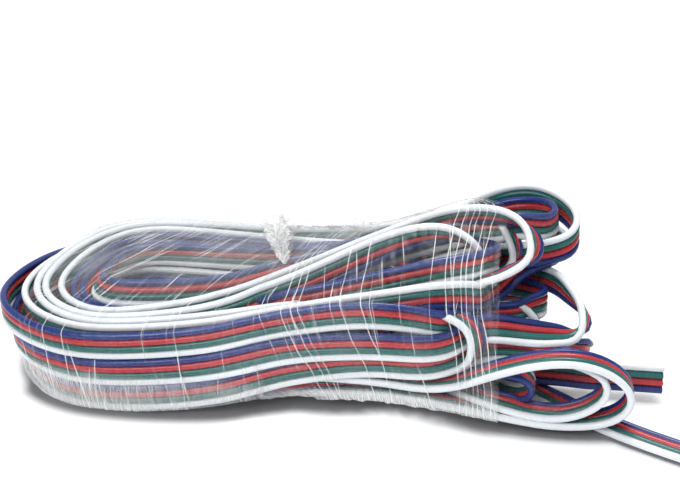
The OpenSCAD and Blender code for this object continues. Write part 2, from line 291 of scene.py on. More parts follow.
def close_pairs(points, reach):
    """Index pairs of points nearer than reach in each direction, found cell by cell."""
    cell = np.floor((points - points.min(0)) / reach).astype(np.int64) + 1
    size = cell.max(0) + 2
    key = (cell[:, 0] * size[1] + cell[:, 1]) * size[2] + cell[:, 2]
    order = np.argsort(key, kind="stable")
    steps = [(a, b, c) for a in (-1, 0, 1) for b in (-1, 0, 1) for c in (-1, 0, 1)]
    firsts, seconds = [], []
    for step in [s for s in steps if s >= (0, 0, 0)]:
        other = key + (step[0] * size[1] + step[1]) * size[2] + step[2]
        start = np.searchsorted(key[order], other, "left")
        count = np.searchsorted(key[order], other, "right") - start
        first = np.repeat(np.arange(len(points)), count)
        within = np.arange(count.sum()) - np.repeat(np.cumsum(count) - count, count)
        second = order[np.repeat(start, count) + within]
        keep = second > first if step == (0, 0, 0) else slice(None)
        firsts.append(first[keep])
        seconds.append(second[keep])
    return np.concatenate(firsts), np.concatenate(seconds)


def settle(path, edge, wire_d):
    """Pushes the turns of the ribbon apart where its wires would share a place. Each step
    along it stays one flat row of wires, held near where it was laid."""
    start_path, start_edge, count = path.copy(), edge.copy(), len(path)
    offsets = WIRE_PLACES * wire_d
    clear, floor = wire_d * APART, wire_d * LOWEST
    station = np.repeat(np.arange(count), len(WIRES))
    for i in range(ROUNDS):
        wires = (path[:, None] + offsets[None, :, None] * edge[:, None]).reshape(-1, 3)
        # Near pairs are looked for every third round, leaving out those along one turn
        if i % 3 == 0:
            a, b = close_pairs(wires, wire_d * 1.5)
            apart = np.abs(station[a] - station[b]) > 5
            a, b = a[apart], b[apart]
        gap = wires[a] - wires[b]
        distance = np.linalg.norm(gap, axis=1)
        near = distance < clear
        part = gap[near] / np.maximum(distance[near], 1e-6)[:, None]
        part *= (clear - distance[near])[:, None] / 2
        push = np.stack([np.bincount(a[near], c, len(wires)) - np.bincount(b[near], c, len(wires))
                         for c in part.T], 1)
        hits = np.bincount(np.concatenate([a[near], b[near]]), minlength=len(wires))
        push /= np.sqrt(np.maximum(hits, 1))[:, None]
        push[:, 2] += np.maximum(floor - wires[:, 2], 0)
        push = push.reshape(count, len(WIRES), 3)
        moved = path + MOVE * push.sum(1) - start_path
        turned = edge - start_edge
        turned += TURN * (push * offsets[None, :, None]).sum(1) / (offsets ** 2).sum()
        for _ in range(2):
            moved[1:-1] += EVEN * ((moved[:-2] + moved[2:]) / 2 - moved[1:-1])
            turned[1:-1] += EVEN * ((turned[:-2] + turned[2:]) / 2 - turned[1:-1])
        path = start_path + KEEP * moved
        edge = across(path, start_edge + KEEP * turned)
    return path, edge


@functools.lru_cache
def lay_ribbon(wire_d):
    """The ribbon's middle line and edge directions in the frame, from the straight end's
    cut to the tail's."""
    rows = rolled(TAIL)
    for bend, turn in zip(LEFT_BENDS, [*RIGHT_TURNS, STRAIGHT_END]):
        rows += left_bend(*bend) + rolled(turn)
    step = wire_d / MM * RIBBON_STEP
    rows = evenly(through(np.array(rows, float)), step)
    rows = np.hstack([soften(rows[:, :3], 2), soften(rows[:, 3:], 4)])
    rows = evenly(rows, step)
    path, edge = settle(rows[:, :3], across(rows[:, :3], rows[:, 3:]), wire_d / MM)
    path, edge = path[::-1], edge[::-1]
    return path * MM + HOME, edge


def wire_lines(wire_d):
    """The four wires' centre lines, in the order of their names."""
    path, edge = lay_ribbon(wire_d)
    return [path + edge * wire_d * place for place in WIRE_PLACES]


# ---------------------------------------------------------------- meshes and modifiers

def new_object(name, mesh):
    piece = bpy.data.objects.new(name, mesh)
    bpy.context.scene.collection.objects.link(piece)
    return piece


def line_object(name, points):
    """A chain of edges through points."""
    mesh = bpy.data.meshes.new(name)
    mesh.from_pydata([tuple(p) for p in points], [(i, i + 1) for i in range(len(points) - 1)], [])
    return new_object(name, mesh)


def finished(piece):
    """The piece with its modifiers worked into a plain mesh."""
    bpy.context.view_layer.update()
    solid = piece.evaluated_get(bpy.context.evaluated_depsgraph_get())
    mesh = bpy.data.meshes.new_from_object(solid)
    mesh.name = piece.name
    piece.modifiers.clear()
    old, piece.data = piece.data, mesh
    bpy.data.meshes.remove(old)
    return piece


def add_nodes(piece, tree, **values):
    """A Geometry Nodes modifier, with the tree's inputs set by their identifiers."""
    modifier = piece.modifiers.new(tree.name, "NODES")
    modifier.node_group = tree
    sockets = {item.name: item.identifier for item in tree.interface.items_tree
               if item.item_type == "SOCKET" and item.in_out == "INPUT"}
    for name, value in values.items():
        modifier[sockets[name.replace("_", " ")]] = value
    return modifier


def add_node(tree, kind, settings=None, **sockets):
    """A node with its settings. Its sockets are set or linked by name, or as _0, _1 by
    their order."""
    made = tree.nodes.new(kind)
    for key, value in (settings or {}).items():
        setattr(made, key, value)
    for key, value in sockets.items():
        socket = made.inputs[int(key[1:]) if key[1:].isdigit() else key.replace("_", " ")]
        value = getattr(value, "socket", value)
        if isinstance(value, bpy.types.NodeSocket):
            tree.links.new(value, socket)
        else:
            socket.default_value = value
    return made


class Tree:
    """A Geometry Nodes group with named inputs and one geometry each way."""

    def __init__(self, name, **inputs):
        self.group = bpy.data.node_groups.new(name, "GeometryNodeTree")
        face = self.group.interface
        face.new_socket("Geometry", in_out="INPUT", socket_type="NodeSocketGeometry")
        for key, kind in inputs.items():
            face.new_socket(key.replace("_", " "), in_out="INPUT",
                            socket_type="NodeSocket" + kind)
        face.new_socket("Geometry", in_out="OUTPUT", socket_type="NodeSocketGeometry")
        self.inputs = self.group.nodes.new("NodeGroupInput")
        self.end = self.group.nodes.new("NodeGroupOutput")

    def input(self, name):
        return self.inputs.outputs[name.replace("_", " ")]

    def node(self, kind, settings=None, **sockets):
        return add_node(self.group, kind, settings, **sockets)

    def finish(self, geometry):
        self.group.links.new(geometry, self.end.inputs[0])
        return self.group


# ---------------------------------------------------------------- materials

class Value:
    """A shader socket that takes arithmetic; each operation adds its Math node."""

    def __init__(self, finish, socket):
        self.finish, self.socket = finish, socket

    def maths(self, operation, *others):
        return self.finish.maths(operation, self, *others)

    def __add__(self, other):
        return self.maths("ADD", other)

    def __radd__(self, other):
        return self.finish.maths("ADD", other, self)

    def __sub__(self, other):
        return self.maths("SUBTRACT", other)

    def __mul__(self, other):
        return self.maths("MULTIPLY", other)

    def __rmul__(self, other):
        return self.finish.maths("MULTIPLY", other, self)

    def __pow__(self, other):
        return self.maths("POWER", other)

    def spread(self, low, high):
        """0 at low, 1 at high, held between."""
        made = self.finish.node("ShaderNodeMapRange", {"clamp": True}, Value=self,
                                From_Min=low, From_Max=high)
        return made("Result")


class Finish:
    """A material and the nodes that make it."""

    def __init__(self, name):
        self.material = bpy.data.materials.new(name)
        self.material.use_nodes = True
        self.tree = self.material.node_tree
        self.tree.nodes.clear()

    def node(self, kind, settings=None, **sockets):
        """A node with its settings and sockets; calling the result gives an output."""
        made = add_node(self.tree, kind, settings, **sockets)
        return lambda name=0: Value(self, made.outputs[name])

    def maths(self, operation, *values):
        sockets = {f"_{i}": value for i, value in enumerate(values)}
        return self.node("ShaderNodeMath", {"operation": operation}, **sockets)()

    def mix(self, factor, first, second):
        """Two colours mixed."""
        return self.node("ShaderNodeMix", {"data_type": "RGBA"}, _0=factor, _6=first,
                         _7=second)(2)

    def noise(self, coordinates, scale, detail=2.0, **more):
        return self.node("ShaderNodeTexNoise", Vector=coordinates, Scale=scale,
                         Detail=detail, **more)("Fac")

    def out(self, shader):
        self.node("ShaderNodeOutputMaterial", Surface=shader)
        return self.material


def rgb(colour):
    return (*colour, 1.0)


def pvc(name, colour, settings):
    """Satin insulation: a little cloudiness, uneven gloss and fine scuffs."""
    f = Finish(name)
    place = f.node("ShaderNodeTexCoord")("Object")
    cloud = f.noise(place, 60, 3)
    scuff = f.noise(place, 900, 2)
    paler = tuple(c + (1 - c) * 0.05 for c in colour)
    deeper = tuple(c * 0.9 for c in colour)
    tone = f.mix(cloud.spread(0.3, 0.7), rgb(deeper), rgb(paler))
    rough = settings.roughness - 0.06 + cloud * 0.06 + scuff.spread(0.5, 0.8) * 0.08
    bump = f.node("ShaderNodeBump", Strength=0.08, Distance=0.05 * MM, Height=scuff)()
    return f.out(f.node("ShaderNodeBsdfPrincipled", Base_Color=tone, Roughness=rough,
                        Normal=bump, IOR=1.42)())


def copper_finish():
    f = Finish("copper")
    place = f.node("ShaderNodeTexCoord")("Object")
    tarnish = f.noise(place, 2500, 3)
    tone = f.mix(tarnish.spread(0.35, 0.7), rgb((0.80, 0.36, 0.19)), rgb((0.55, 0.21, 0.10)))
    return f.out(f.node("ShaderNodeBsdfPrincipled", Base_Color=tone, Metallic=1.0,
                        Roughness=0.24 + tarnish * 0.2)())


def film_finish(name, settings):
    """Clear stretch film: glossy where it turns away, milky where it has been pulled, with
    fine pale lines where it is stretched. The haze attribute says how milky a place is, and
    the crease attribute is a whole number and a half on each crease."""
    f = Finish(name)
    uv = f.node("ShaderNodeUVMap", {"uv_map": "film"})("UV")
    haze = f.node("ShaderNodeAttribute", {"attribute_name": "haze"})("Fac")
    crease = f.node("ShaderNodeAttribute", {"attribute_name": "crease"})("Fac")
    crease = (crease.maths("FRACT") - 0.5).maths("ABSOLUTE").spread(0.14, 0.04)
    place = f.node("ShaderNodeTexCoord")("Object")
    lines, threads = 0, 0
    for turn, stretch, scale, low, high in (
            (2, 0.012, 2100, 0.67, 0.72), (-5, 0.014, 1900, 0.69, 0.74),
            (11, 0.02, 2000, 0.71, 0.76)):
        turned = f.node("ShaderNodeMapping", {"vector_type": "TEXTURE"}, Vector=uv,
                        Rotation=(0, 0, math.radians(turn)))()
        turned = f.node("ShaderNodeMapping", Vector=turned, Scale=(1, stretch, 1))()
        noise = f.noise(turned, scale, 1.0)
        line, thread = noise.spread(low, high), f.noise(turned, 2.2 * scale, 2.0)
        lines = line if lines == 0 else lines.maths("MAXIMUM", line)
        threads = thread if threads == 0 else threads.maths("MAXIMUM", thread)
    patches = f.noise(place, 110, 3).spread(0.3, 0.7)
    milk = haze * (0.5 + 0.6 * patches) * (0.3 + 1.5 * threads.spread(0.5, 0.75))
    streaks = lines.maths("MAXIMUM", crease) * (0.2 + 0.8 * patches)
    cover = (milk * settings.milk + streaks * settings.streaks).maths("MINIMUM", 0.92)
    body = f.node("ShaderNodeBsdfPrincipled", Base_Color=rgb(tuple(settings.colour)),
                  Roughness=0.35, Alpha=cover)()
    gloss = f.node("ShaderNodeBsdfGlossy", Color=(1, 1, 1, 1), Roughness=0.24)()
    facing = f.node("ShaderNodeLayerWeight", Blend=0.5)("Facing")
    return f.out(f.node("ShaderNodeMixShader", _0=0.006 + 0.2 * facing ** 4,
                        _1=body, _2=gloss)())


# ---------------------------------------------------------------- what a user would change

class CableSettings(bpy.types.PropertyGroup):
    wire_d: FloatProperty(name="Wire", description="Diameter over one wire's insulation",
                          default=1.7 * MM, unit="LENGTH")
    length: FloatProperty(name="Length", description="Real length of the cable",
                          default=4.8, unit="LENGTH")
    sides: IntProperty(name="Sides", description="Faces round one wire", default=10)
    roughness: FloatProperty(name="Roughness", description="How dull the insulation is",
                             default=0.29)
    white: FloatVectorProperty(name="White", description="First edge wire", subtype="COLOR",
                               default=(0.80, 0.84, 0.87))
    green: FloatVectorProperty(name="Green", description="Second wire", subtype="COLOR",
                               default=(0.003, 0.120, 0.108))
    red: FloatVectorProperty(name="Red", description="Third wire", subtype="COLOR",
                             default=(0.48, 0.020, 0.031))
    blue: FloatVectorProperty(name="Blue", description="Other edge wire", subtype="COLOR",
                              default=(0.002, 0.022, 0.17))
    strand_d: FloatProperty(name="Strand", description="Diameter of one copper strand",
                            default=0.16 * MM, unit="LENGTH")


class FilmSettings(bpy.types.PropertyGroup):
    thickness: FloatProperty(name="Thickness", description="Film and the air under its folds",
                             default=0.08 * MM, unit="LENGTH")
    gap: FloatProperty(name="Gap", description="How far the film stands off the wires",
                       default=0.12 * MM, unit="LENGTH")
    fold: FloatProperty(name="Folds", description="Height of the film's folds",
                        default=0.17 * MM, unit="LENGTH")
    grid: FloatProperty(name="Grid", description="Spacing of the film's mesh",
                        default=0.55 * MM, unit="LENGTH")
    milk: FloatProperty(name="Milkiness", description="Cover of the pulled parts", default=0.5)
    streaks: FloatProperty(name="Streaks", description="Cover of the stretch lines",
                           default=0.6)
    colour: FloatVectorProperty(name="Colour", description="Colour of the milky parts",
                                subtype="COLOR", default=(0.96, 0.965, 0.955))


class StudioSettings(bpy.types.PropertyGroup):
    azimuth: FloatProperty(name="Azimuth", description="Camera's turn from straight ahead",
                           default=math.radians(8), subtype="ANGLE")
    elevation: FloatProperty(name="Elevation", description="Camera's angle above the floor",
                             default=math.radians(27), subtype="ANGLE")
    distance: FloatProperty(name="Distance", description="Camera to the middle of the view",
                            default=0.3, unit="LENGTH")
    lens: FloatProperty(name="Lens", description="Focal length in millimetres", default=66.7)
    ambient: FloatProperty(name="Surround", description="Light from all round", default=0.4)
    key: FloatProperty(name="Lamps", description="Strength of the soft lamps", default=1.0)


# ---------------------------------------------------------------- operators

class HANK_OT_camera(bpy.types.Operator):
    """Places the camera"""
    bl_idname = "hank.camera"
    bl_label = "Camera"

    def execute(self, context):
        studio = context.scene.hank_studio
        az, el = studio.azimuth, studio.elevation
        back = Vector((math.sin(az) * math.cos(el), -math.cos(az) * math.cos(el),
                       math.sin(el)))
        camera = bpy.data.objects.new("camera", bpy.data.cameras.new("camera"))
        context.scene.collection.objects.link(camera)
        camera.data.lens, camera.data.sensor_width = studio.lens, 36
        camera.data.clip_start, camera.data.clip_end = 0.01, 20
        camera.location = Vector(HOME) + Vector((0, 0, 30 * MM)) + back * studio.distance
        camera.rotation_euler = (-back).to_track_quat("-Z", "Y").to_euler()
        context.scene.camera = camera
        return {"FINISHED"}


def wire_tree():
    """A round tube along a chain of edges."""
    tree = Tree("wire_tube", Radius="Float", Sides="Int", Finish="Material")
    curve = tree.node("GeometryNodeMeshToCurve", Mesh=tree.input("Geometry"))
    ring = tree.node("GeometryNodeCurvePrimitiveCircle", Resolution=tree.input("Sides"),
                     Radius=tree.input("Radius"))
    tube = tree.node("GeometryNodeCurveToMesh", Curve=curve.outputs[0],
                     Profile_Curve=ring.outputs[0], Fill_Caps=True)
    smooth = tree.node("GeometryNodeSetShadeSmooth", Geometry=tube.outputs[0])
    made = tree.node("GeometryNodeSetMaterial", Geometry=smooth.outputs[0],
                     Material=tree.input("Finish"))
    return tree.finish(made.outputs[0])


class HANK_OT_wires(bpy.types.Operator):
    """Makes the ribbon's four insulated wires, from the straight end to the tail"""
    bl_idname = "hank.wires"
    bl_label = "Wires"

    def execute(self, context):
        cable = context.scene.hank_cable
        tree = wire_tree()
        for name, line in zip(WIRES, wire_lines(cable.wire_d)):
            wire = line_object(f"wire_{name}", line)
            add_nodes(wire, tree, Radius=cable.wire_d / 2, Sides=cable.sides,
                      Finish=pvc(f"{name}_pvc", tuple(getattr(cable, name)), cable))
            finished(wire)
            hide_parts("hank", "tail", *LOOPS, f"lead_{name}_wire", f"tail_{name}_wire")
            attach(wire, "root")
        return {"FINISHED"}


def strand_tree():
    """A cylinder at each point, turned to the point's direction."""
    tree = Tree("strands", Radius="Float", Length="Float", Finish="Material")
    places = tree.node("GeometryNodeMeshToPoints", Mesh=tree.input("Geometry"))
    rod = tree.node("GeometryNodeMeshCylinder", {"fill_type": "TRIANGLE_FAN"}, Vertices=8,
                    Radius=tree.input("Radius"), Depth=tree.input("Length"))
    axis = tree.node("GeometryNodeInputNamedAttribute", {"data_type": "FLOAT_VECTOR"},
                     Name="axis")
    turn = tree.node("FunctionNodeAlignRotationToVector", {"axis": "Z"},
                     Vector=axis.outputs[0])
    copies = tree.node("GeometryNodeInstanceOnPoints", Points=places.outputs[0],
                       Instance=rod.outputs[0], Rotation=turn.outputs[0])
    joined = tree.node("GeometryNodeRealizeInstances", Geometry=copies.outputs[0])
    made = tree.node("GeometryNodeSetMaterial", Geometry=joined.outputs[0],
                     Material=tree.input("Finish"))
    return tree.finish(made.outputs[0])


# Copper strands in each ring of a core, how far apart they lie in strand diameters, how
# long they are and how far they stand out of the cut
STRAND_RINGS, STRAND_PITCH = (1, 6, 10), 1.04
STRAND_LENGTH, STRAND_PROUD = 1.2 * MM, (0.05, 0.2)


class HANK_OT_strands(bpy.types.Operator):
    """Puts the bundle of copper strands in each wire's cut ends"""
    bl_idname = "hank.strands"
    bl_label = "Strands"

    def execute(self, context):
        cable = context.scene.hank_cable
        rng = np.random.default_rng(7)
        points, axes = [], []
        for line in wire_lines(cable.wire_d):
            for end, inner in ((line[0], line[2]), (line[-1], line[-3])):
                axis = (end - inner) / np.linalg.norm(end - inner)
                side = np.cross(axis, (0.3, 0.2, 1))
                side /= np.linalg.norm(side)
                over = np.cross(axis, side)
                for ring, count in enumerate(STRAND_RINGS):
                    for i in range(count):
                        a = 2 * math.pi * (i + 0.3 * ring) / count
                        off = (math.cos(a) * side + math.sin(a) * over) * ring
                        proud = rng.uniform(*STRAND_PROUD) * MM
                        points.append(end + off * cable.strand_d * STRAND_PITCH
                                      + axis * (proud - STRAND_LENGTH / 2))
                        axes.append(axis)
        mesh = bpy.data.meshes.new("strands")
        mesh.from_pydata([tuple(p) for p in points], [], [])
        mesh.attributes.new("axis", "FLOAT_VECTOR", "POINT").data.foreach_set(
            "vector", np.array(axes, np.float32).ravel())
        strands = new_object("strands", mesh)
        add_nodes(strands, strand_tree(), Radius=cable.strand_d / 2, Length=STRAND_LENGTH,
                  Finish=copper_finish())
        finished(strands)
        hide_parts(*[f"{end}_{name}_core" for end in ("lead", "tail")
                               for name in WIRES])
        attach(strands, "root")
        return {"FINISHED"}


def patchy(rng, u, v, cell_u, cell_v, around):
    """Smooth noise from -1 to 1 over u and v, repeating in v after the length around."""
    rows = int(np.ptp(u) / cell_u) + 4
    columns = max(int(round(around / cell_v)), 3)
    grid = rng.uniform(-1, 1, (rows, columns))
    a, b = (u - u.min()) / cell_u + 1, v / around * columns
    i, j = np.floor(a).astype(int), np.floor(b).astype(int)
    s, t = a - i, b - j
    s, t = s * s * (3 - 2 * s), t * t * (3 - 2 * t)
    left, right = j % columns, (j + 1) % columns
    low = grid[i, left] * (1 - t) + grid[i, right] * t
    high = grid[np.minimum(i + 1, rows - 1), left] * (1 - t) \
        + grid[np.minimum(i + 1, rows - 1), right] * t
    return low * (1 - s) + high * s


def between(value, low, high):
    """0 at low, 1 at high, eased between; low may be the larger."""
    t = np.clip((value - low) / (high - low), 0, 1)
    return t * t * (3 - 2 * t)


# The points round a ring of film, how far along x it feels the wires, over how many rings
# it is evened, and where in route millimetres it stops following them
RING_POINTS, FEEL, EVEN_RINGS = 300, 2.2 * MM, 4
MOUTH_X = FACE_X - 3


def taut_rings(points, stations, gap):
    """Outlines of film pulled tight over points, one ring at each x station: the hull's
    reach in each direction, evened along x, walked round at an even step. Past the mouth
    the film runs on as an open sleeve."""
    mouth = HOME[0] + MOUTH_X * MM
    angles = np.linspace(0, 2 * math.pi, 720, endpoint=False)
    ways = np.stack([np.cos(angles), np.sin(angles)])
    reach = []
    for x in stations:
        near = points[np.abs(points[:, 0] - x) < FEEL]
        reach.append((near[:, 1:] @ ways).max(0))
        if x > mouth:
            reach[-1] = np.maximum(reach[-1], reach[-2])
    reach = soften(np.array(reach), EVEN_RINGS) + gap
    rings = []
    turn = np.gradient(np.hstack([reach[:, -1:], reach, reach[:, :1]]), angles[1], axis=1)
    for distance, slope in zip(reach, turn[:, 1:-1]):
        ring = (distance * ways + slope * np.stack([-ways[1], ways[0]])).T
        ring = np.vstack([ring, ring[:1]])
        # Start under the hank, at the ring's lowest middle
        s = np.concatenate([[0], np.cumsum(np.linalg.norm(np.diff(ring, axis=0), axis=1))])
        t = np.linspace(0, s[-1], RING_POINTS, endpoint=False)
        t = (t + s[angles.searchsorted(1.5 * math.pi)]) % s[-1]
        rings.append(np.stack([np.full(RING_POINTS, 0.0), np.interp(t, s, ring[:, 0]),
                               np.interp(t, s, ring[:, 1])], 1))
    return np.array(rings)


def drawn_back(place):
    """How far the film is drawn back from its open end behind, in mm."""
    x, y = place[..., 0], place[..., 1]
    return 10 * between(y, -8, 14) * np.clip((x - 16) / (SLEEVE_X - 16), 0, 1)


def film_rings(stations, settings, wire_d):
    """Taut rings of film over the wires, drawn back behind at the open end."""
    rings = taut_rings(np.vstack(wire_lines(wire_d)), stations, wire_d / 2 + settings.gap)
    rings[:, :, 0] = stations[:, None]
    rings[:, :, 0] -= drawn_back((rings - HOME) / MM) * MM
    for ring in rings.transpose(1, 2, 0):
        ring[1:] = [np.interp(ring[0], stations, axis) for axis in ring[1:]]
    return rings


def film_lift(rng, u, v, around, place, fold):
    """How far the film stands off its rings."""
    # Folds run round the band, a little askew, sharper and higher near its free edges
    folds = np.zeros_like(u)
    for cell, length, slant, share in ((2.2, 34, 0.10, 1.0), (1.3, 22, -0.16, 0.8),
                                       (0.9, 12, 0.3, 0.45)):
        ridge = 1 - np.abs(patchy(rng, u + slant * np.sin(2 * math.pi * v / around) * around / 6,
                                  v, cell * MM, length * MM, around))
        folds += share * ridge ** 5
    calm = 0.5 + 0.5 * patchy(rng, u, v, 12 * MM, 25 * MM, around)
    edge = np.minimum(u, u.max() - u) / (6 * MM)
    lift = fold * folds * (0.35 + 0.65 * calm) * (1 + 0.8 * np.exp(-edge))
    # Film pushed together crumples along the bottom
    x, z = place[..., 0], place[..., 2]
    crumple = np.abs(patchy(rng, u + 0.4 * v, v, 1.7 * MM, 2.6 * MM, around)) ** 0.7
    return lift + 3.4 * fold * crumple * between(z, 9, 5) * between(x, -12, -2) \
        * between(x, 30, 22)


def crease_count(place, creases):
    """A number that rises by one over each crease, and is half way up on it."""
    creases = np.array(creases, float)
    half = np.minimum(0.5, np.diff(creases, prepend=-99, append=99) / 2)
    knots = np.stack([creases - half[:-1], creases + half[1:]], 1).ravel()
    steps = np.stack([np.arange(len(creases)), np.arange(len(creases)) + 1], 1).ravel()
    return np.interp(place, knots + np.arange(len(knots)) * 1e-6, steps)


def store(mesh, name, values):
    """Keeps a number on each point of a mesh."""
    mesh.attributes.new(name, "FLOAT", "POINT").data.foreach_set(
        "value", values.astype(np.float32).ravel())


def grid_faces(rows, columns):
    """The row, column and next column of each face of a grid that closes on itself."""
    i, j = np.meshgrid(np.arange(rows - 1), np.arange(columns), indexing="ij")
    return i, j, (j + 1) % columns


def film_band(name, low_x, high_x, settings, wire_d, seed, haze_at, slant_at, creases):
    """One band of film round the hank between two x places in route millimetres, with
    its two sizes when flat."""
    rng = np.random.default_rng(seed)
    low, high = HOME[0] + low_x * MM, HOME[0] + high_x * MM
    stations = np.arange(low, high + settings.grid, settings.grid)
    rings = film_rings(stations, settings, wire_d)
    rows, columns = rings.shape[:2]
    around = np.linalg.norm(np.diff(rings[rows // 2], axis=0), axis=1).sum()
    u = np.repeat((stations - low)[:, None], columns, 1)
    v = np.repeat((np.arange(columns) / columns * around)[None], rows, 0)
    outward = np.gradient(rings, axis=1)
    outward = np.stack([np.zeros_like(u), outward[:, :, 2], -outward[:, :, 1]], 2)
    outward /= np.maximum(np.linalg.norm(outward, axis=2, keepdims=True), 1e-9)
    place = (rings - HOME) / MM
    lift = film_lift(rng, u, v, around, place, settings.fold)
    skin = rings + outward * lift[:, :, None]
    wobble = 1.6 * MM * patchy(rng, u * 0, v, 1, 16 * MM, around)
    skin[:, :, 0] += wobble * (np.exp(-u / (5 * MM)) + np.exp(-(u.max() - u) / (5 * MM)))
    skin[:, :, 2] = np.maximum(skin[:, :, 2], 0.03 * MM)
    index = np.arange(rows * columns).reshape(rows, columns)
    i, j, k = grid_faces(rows, columns)
    faces = np.stack([index[i, j], index[i + 1, j], index[i + 1, k], index[i, k]], 2)
    mesh = bpy.data.meshes.new(name)
    mesh.from_pydata(skin.reshape(-1, 3), [], faces.reshape(-1, 4))
    slant = slant_at(place)
    slant = np.hstack([slant, slant[:, :1]])
    uvs = np.stack([np.stack([stations[a] - low + slant[a, b] * MM, b * (around / columns)], 2)
                    for a, b in ((i, j), (i + 1, j), (i + 1, j + 1), (i, j + 1))], 2)
    mesh.uv_layers.new(name="film").data.foreach_set("uv", uvs.astype(np.float32).ravel())
    soft = patchy(rng, u, v, 7 * MM, 13 * MM, around)
    store(mesh, "haze", np.clip(haze_at((skin - HOME) / MM, soft), 0, 2))
    warped = (u + slant[:, :-1] * MM + low - HOME[0]) / MM
    wander = 0.9 * patchy(rng, u * 0, v, 1, 9 * MM, around)
    store(mesh, "crease", crease_count(warped + wander, creases))
    band = new_object(name, mesh)
    mesh.polygons.foreach_set("use_smooth", np.ones(len(mesh.polygons), bool))
    mesh.materials.append(film_finish(f"{name}_film", settings))
    thick = band.modifiers.new("thickness", "SOLIDIFY")
    thick.thickness, thick.offset = settings.thickness, -1
    finished(band)
    return band, (high - low, around)


def left_slant(place):
    """How far the left band's stretch lines lean from straight round the hank, in mm."""
    y, z = place[..., 1], place[..., 2]
    return 0.12 * (z - 10) - 0.5 * np.maximum(y + 28, 0) * between(z, 14, 19)


def right_slant(place):
    """The same for the right band, whose lines fan out."""
    x, y, z = (place[..., k] for k in range(3))
    return (0.32 - 0.005 * x) * (z - 10) - 0.1 * (y + 10)


def left_haze(place, soft):
    """Milky low down in front, over the eye and behind; nearly clear down the front."""
    x, y, z = (place[..., k] for k in range(3))
    front = between(y, -10, -16)
    low = between(z, 12, 7.5) * (0.38 + 0.5 * between(x, -25, -55)) + 0.5 * between(z, 4, 1)
    top = between(z, 14, 19) * between(y, -27, -18) * (0.12 + 0.1 * between(y, -18, -6))
    return front * low + top + 0.2 * between(y, 14, 22) + 0.4 * (1 - front) * between(z, 3, 1) \
        + 0.08 * soft * (1 - front * between(z, 8, 12))


def right_haze(place, soft):
    """Clear in front, milky along the bottom, behind and on the slope up from the eye."""
    x, y, z = (place[..., k] for k in range(3))
    low = between(z, 9.5, 5) * (0.6 + 1.1 * between(x, 32, 20) * between(x, -16, -4))
    slope = 0.16 * between(x, 14, -12) * between(y, -26, -18) * between(z, 18, 24)
    edge = 0.25 * between(x, 27, 36) * between(z, 16, 6)
    return low + slope + edge + 0.15 * between(y, 10, 22) * between(z, 24, 18) \
        + 0.06 * (0.3 + soft)


# The step along a rope of film in millimetres, and the points round it
ROPE_STEP, ROPE_POINTS = 0.22, 96


def film_rope(points, width, height, seed, twist):
    """Rings of film gathered into a crumpled rope through points, in route millimetres,
    and their places along and round it."""
    rng = np.random.default_rng(seed)
    path = evenly(through(np.array(points, float)), ROPE_STEP)
    along = np.gradient(path[:, :3], axis=0)
    along /= np.linalg.norm(along, axis=1, keepdims=True)
    side = np.cross(along, (0, 0, 1))
    side /= np.linalg.norm(side, axis=1, keepdims=True)
    up = np.cross(side, along)
    turns = np.linspace(0, 2 * math.pi, ROPE_POINTS, endpoint=False)
    u = np.repeat(np.arange(len(path))[:, None] * ROPE_STEP * MM, ROPE_POINTS, 1)
    v = np.repeat(turns[None], len(path), 0)
    swirl = (v + twist * u / MM) % (2 * math.pi)
    crumple = np.zeros_like(u)
    for cell, lobes, share in ((5, 9, 1.0), (1.6, 16, 0.6), (0.6, 30, 0.35)):
        crumple += share * (1 - np.abs(patchy(rng, u, swirl, cell * MM, 2 * math.pi / lobes,
                                              2 * math.pi))) ** 3
    reach = (0.45 + 0.5 * crumple)[..., None] * path[:, None, 3:4]
    rings = path[:, None, :3] + reach * (np.cos(turns)[None, :, None] * side[:, None] * width
                                         + np.sin(turns)[None, :, None] * up[:, None] * height)
    return rings, u, v


def rope_mesh(name, ropes):
    """One mesh of several closed ropes, with the film's coordinates and each one's haze."""
    verts, faces, uvs, hazes, start = [], [], [], [], 0
    for (rings, u, v), haze in ropes:
        index = np.arange(u.size).reshape(u.shape) + start
        i, j, k = (part.ravel() for part in grid_faces(*u.shape))
        faces += np.stack([index[i, j], index[i, k], index[i + 1, k], index[i + 1, j]],
                          1).tolist()
        faces += [index[0, ::-1].tolist(), index[-1].tolist()]
        uvs.append(np.stack([v.ravel() * MM, u.ravel()], 1))
        verts.append(rings.reshape(-1, 3) * MM + HOME)
        hazes.append(np.full(u.size, haze))
        start += u.size
    mesh = bpy.data.meshes.new(name)
    mesh.from_pydata(np.vstack(verts), [], faces)
    corner = np.empty(len(mesh.loops), np.int32)
    mesh.loops.foreach_get("vertex_index", corner)
    mesh.uv_layers.new(name="film").data.foreach_set(
        "uv", np.vstack(uvs)[corner].astype(np.float32).ravel())
    hazes = np.concatenate(hazes)
    store(mesh, "haze", hazes)
    store(mesh, "crease", 0 * hazes)
    return mesh


class HANK_OT_film(bpy.types.Operator):
    """Wraps the two bands of stretch film round the hank"""
    bl_idname = "hank.film"
    bl_label = "Film"

    def execute(self, context):
        film, wire_d = context.scene.hank_film, context.scene.hank_cable.wire_d
        # The last numbers are the places of the creases along the band
        for node, low, high, seed, haze_at, slant_at, creases in (
                ("film_left", -70, -13, 11, left_haze, left_slant, (-62, -57, -31)),
                ("film_right", -14, SLEEVE_X, 12, right_haze, right_slant,
                 (1, 3, 4.5, 13, 17, 33, 34.5, 36, 37, 38.4, 40))):
            band, flat = film_band(node.replace("film", "film_band"), low, high, film,
                                   wire_d, seed, haze_at, slant_at, creases)
            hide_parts(node)
            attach(band, "root")
        return {"FINISHED"}


